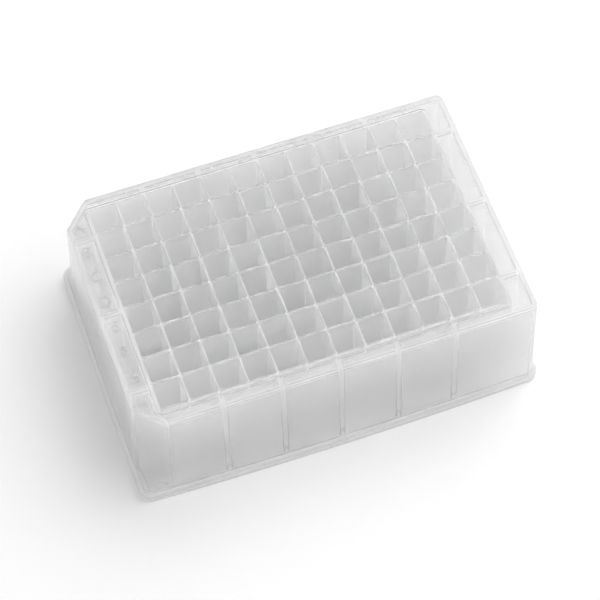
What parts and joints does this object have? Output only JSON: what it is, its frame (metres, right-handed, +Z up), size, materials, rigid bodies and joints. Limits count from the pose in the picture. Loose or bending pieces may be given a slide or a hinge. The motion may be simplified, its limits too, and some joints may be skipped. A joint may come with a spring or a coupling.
{
  "type": "well plate",
  "caption": "Deep-well sample storage plate: square wells in a translucent moulding with a drafted shell, a shallow ribbed deck, a foot flange and bevelled corners.",
  "frame": {"origin": "middle of the base, on the surface that the plate stands on", "axes": "+X along the long side from column 1 to column 12, +Y along the short side from row H to row A, +Z up out of the wells"},
  "size_m": [0.1278, 0.0854, 0.043],
  "materials": {
    "natural_polypropylene": "natural translucent polypropylene, injection moulded, smooth with a soft gloss"
  },
  "bodies": {
    "root": {"well_plate": "natural_polypropylene"}
  },
  "joints": []
}
